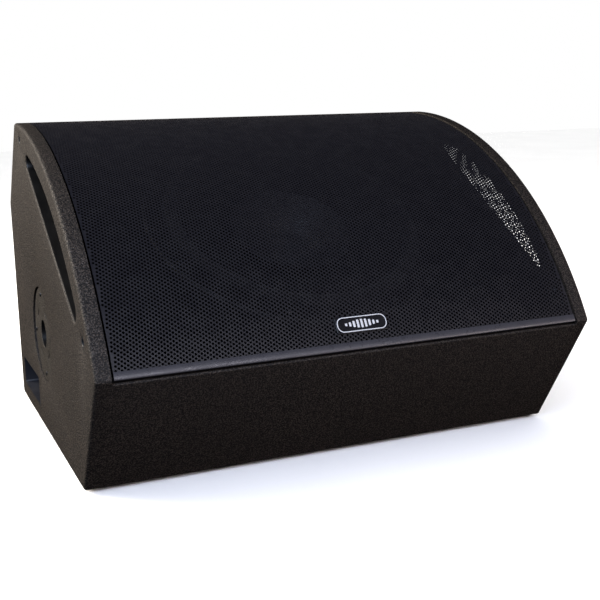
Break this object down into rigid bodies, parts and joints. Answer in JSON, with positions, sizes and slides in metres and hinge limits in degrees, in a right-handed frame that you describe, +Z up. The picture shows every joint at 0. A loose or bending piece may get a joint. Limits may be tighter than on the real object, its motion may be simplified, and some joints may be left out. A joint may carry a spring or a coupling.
{
  "type": "stage monitor wedge",
  "caption": "Floor stage monitor: wedge cabinet with a curved perforated grille, hand slots, side pole sockets, and a coaxial driver whose cone and diaphragm move.",
  "frame": {"origin": "middle of the object's box, on the surface under the feet", "axes": "+X across the cabinet to its right side seen from the front, +Y from the front to the back, +Z up"},
  "size_m": [0.627, 0.5154, 0.406],
  "materials": {
    "textured_paint": "matte",
    "painted_flange": "matte",
    "grille_paint": "satin",
    "badge_plate": "satin",
    "black_steel": "satin",
    "zinc_steel": "satin",
    "raw_wood": "matte",
    "foot_rubber": "matte",
    "surround_rubber": "satin",
    "black_plastic": "satin",
    "cast_aluminium": "satin",
    "ferrite": "matte",
    "cone_paper": "matte",
    "gasket_fibre": "matte",
    "spider_cloth": "matte",
    "copper_wire": "satin",
    "circuit_board": "satin",
    "capacitor_film": "satin",
    "ceramic_block": "matte",
    "wadding": "matte",
    "titanium_foil": "satin",
    "lead_sleeve": "satin"
  },
  "bodies": {
    "cabinet": {"side_panel_left": "textured_paint", "side_panel_right": "textured_paint", "bottom_panel": "textured_paint", "kick_panel": "textured_paint", "rear_panel": "textured_paint", "upper_rear_panel": "textured_paint", "baffle": "textured_paint", "baffle_cleat_left": "raw_wood", "baffle_cleat_right": "raw_wood", "port_tube_left": "black_plastic", "port_tube_right": "black_plastic", "driver_basket": "cast_aluminium", "surround": "surround_rubber", "driver_gasket": "gasket_fibre", "spider": "spider_cloth", "top_plate": "zinc_steel", "ring_magnet": "ferrite", "pole_piece": "zinc_steel", "hf_horn": "black_plastic", "terminal_strip": "black_plastic", "hf_throat_plate": "zinc_steel", "hf_magnet": "ferrite", "hf_phase_plug": "black_plastic", "hf_rear_cover": "cast_aluminium", "grille": "grille_paint", "badge": "badge_plate", "pole_socket_left": "painted_flange", "bracket_insert_front_left": "black_steel", "bracket_insert_top_left": "black_steel", "pole_socket_right": "painted_flange", "bracket_insert_front_right": "black_steel", "bracket_insert_top_right": "black_steel", "connector_dish": "black_steel", "speaker_socket_in": "black_plastic", "speaker_socket_link": "black_plastic", "foot_front_left": "foot_rubber", "foot_screw_front_left": "zinc_steel", "foot_front_right": "foot_rubber", "foot_screw_front_right": "zinc_steel", "foot_rear_left": "foot_rubber", "foot_screw_rear_left": "zinc_steel", "foot_rear_right": "foot_rubber", "foot_screw_rear_right": "zinc_steel", "crossover_board": "circuit_board", "inductor_low_pass": "copper_wire", "inductor_high_pass": "copper_wire", "capacitor_low_pass": "capacitor_film", "capacitor_high_pass": "capacitor_film", "ceramic_resistor": "ceramic_block", "board_spacer_front": "raw_wood", "board_spacer_rear": "raw_wood", "damping_wadding": "wadding", "lead_from_sockets": "lead_sleeve", "lead_to_woofer": "lead_sleeve", "lead_to_horn": "lead_sleeve"},
    "cone_assembly": {"cone": "cone_paper", "voice_coil": "copper_wire"},
    "hf_diaphragm_assembly": {"hf_diaphragm": "titanium_foil", "hf_voice_coil": "copper_wire"}
  },
  "joints": [
    {"name": "cone_stroke", "type": "slide", "parent": "cabinet", "child": "cone_assembly", "axis": [0, -0.5075, 0.8616], "range_m": [-0.006, 0.006], "stiffness_N_per_m": 5700, "deforming": ["surround", "spider"]},
    {"name": "hf_diaphragm_stroke", "type": "slide", "parent": "cabinet", "child": "hf_diaphragm_assembly", "axis": [0, -0.5075, 0.8616], "range_m": [-0.0004, 0.0004], "stiffness_N_per_m": 6000}
  ]
}
